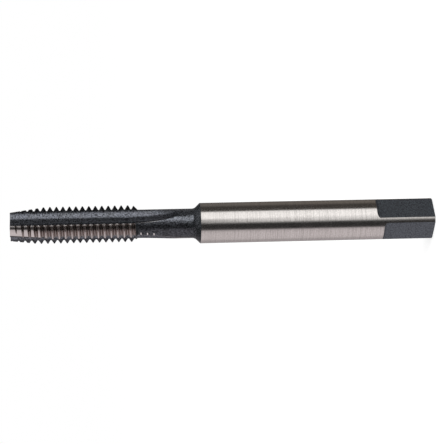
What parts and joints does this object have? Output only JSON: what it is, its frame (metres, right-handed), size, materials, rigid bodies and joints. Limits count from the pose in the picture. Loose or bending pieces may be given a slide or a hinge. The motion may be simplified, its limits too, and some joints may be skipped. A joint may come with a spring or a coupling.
{
  "type": "thread tap",
  "caption": "Straight-flute hand tap: threaded cutting end with a tapered lead, reduced neck, round shank and a driving square.",
  "frame": {"origin": "centre of the end face of the driving square", "axes": "+Z along the tool's axis to the cutting tip; the flats of the square face +X, -X, +Y and -Y"},
  "size_m": [0.0064, 0.0064, 0.066],
  "materials": {
    "tool_steel": "ground bright on the shank and the thread's lands, blue-black oxide on the flutes, neck, shoulder and square"
  },
  "bodies": {
    "root": {"tap": "tool_steel"}
  },
  "joints": []
}
